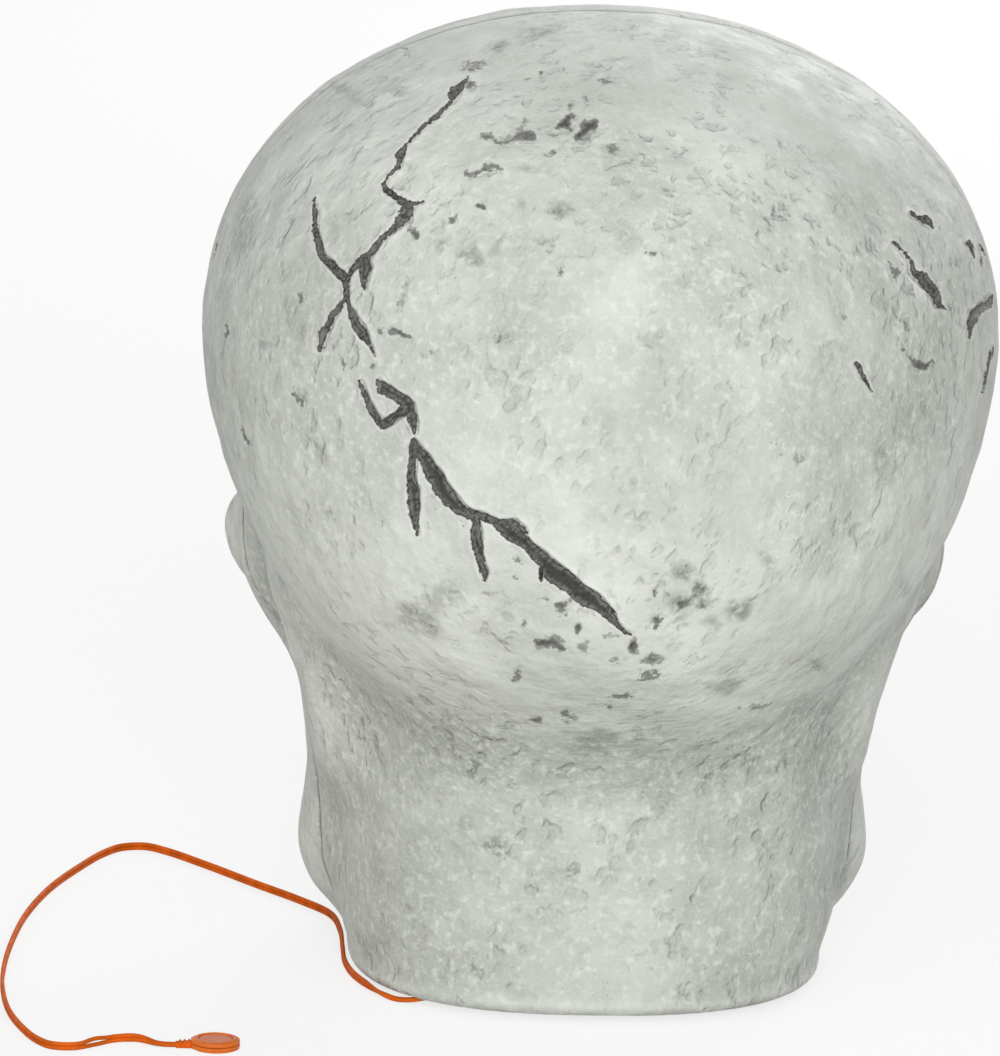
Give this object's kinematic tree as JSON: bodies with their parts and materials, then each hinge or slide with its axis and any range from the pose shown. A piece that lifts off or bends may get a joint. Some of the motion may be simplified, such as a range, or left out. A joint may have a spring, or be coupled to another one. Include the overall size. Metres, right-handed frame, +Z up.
{
  "type": "giant tabletop skull decoration",
  "caption": "Hollow plastic skull for a table display, in front and rear shells on a base with light-up eyes, speaker and battery bay, set off by a push button on a flat lead.",
  "frame": {"origin": "on the table under the middle of the skull's box, the lead and its button not counted", "axes": "+Z up, the face looks along -Y, +X towards the skull's own left side; the shells meet in the plane y = 0"},
  "size_m": [0.5103, 0.4697, 0.5048],
  "materials": {
    "bone_plastic": "satin, bone white with a grey-green cast, pitted and painted with dark grey cracks",
    "base_plastic": "fine grain, black",
    "steel": "plated",
    "foot_rubber": "matte black",
    "cell_wrap": "smooth plain wrap",
    "speaker_paper": "matte pressed paper",
    "magnet": "plated",
    "board": "green lacquer",
    "chip_plastic": "moulded black",
    "switch_plastic": "moulded off-white",
    "eye_red": "clear red moulding",
    "light_clear": "clear casting",
    "wire_cover": "smooth soft cover",
    "lead_orange": "soft satin orange",
    "button_orange": "satin orange",
    "press_face": "matte, paler orange"
  },
  "bodies": {
    "skull": {"rear_shell": "bone_plastic", "front_shell": "bone_plastic", "base_plate": "base_plastic", "base_screw_1": "steel", "base_screw_2": "steel", "base_screw_3": "steel", "base_screw_4": "steel", "base_screw_5": "steel", "base_screw_6": "steel", "foot_pad_1": "foot_rubber", "foot_pad_2": "foot_rubber", "foot_pad_3": "foot_rubber", "foot_pad_4": "foot_rubber", "battery_door": "base_plastic", "battery_door_screw": "steel", "battery_cell_1": "cell_wrap", "battery_cell_2": "cell_wrap", "battery_cell_3": "cell_wrap", "battery_contact_left": "steel", "battery_contact_right": "steel", "speaker_frame": "steel", "speaker_cone": "speaker_paper", "speaker_magnet": "magnet", "speaker_screw_1": "steel", "speaker_screw_2": "steel", "speaker_screw_3": "steel", "circuit_board": "board", "sound_chip": "chip_plastic", "board_screw_1": "steel", "board_screw_2": "steel", "mode_switch_body": "chip_plastic", "eye_lens_left": "eye_red", "light_board_left": "board", "light_left": "light_clear", "eye_lens_right": "eye_red", "light_board_right": "board", "light_right": "light_clear", "eye_wire_left": "wire_cover", "eye_wire_right": "wire_cover", "speaker_wire": "wire_cover", "battery_wire": "wire_cover", "mode_switch_wire": "wire_cover", "trigger_inner_wire": "wire_cover", "lead_grommet": "lead_orange", "trigger_lead": "lead_orange", "trigger_relief": "lead_orange", "trigger_case_bottom": "button_orange", "trigger_case_top": "button_orange", "trigger_switch": "steel"},
    "mode_slider": {"mode_switch_slider": "switch_plastic"},
    "trigger_button": {"trigger_cap": "press_face"}
  },
  "joints": [
    {"name": "mode_switch", "type": "slide", "parent": "skull", "child": "mode_slider", "axis": [0, 1, 0], "range_m": [-0.0025, 0.0025]},
    {"name": "trigger_press", "type": "slide", "parent": "skull", "child": "trigger_button", "axis": [0, 0, -1], "range_m": [0, 0.0008], "stiffness_N_per_m": 3000}
  ]
}
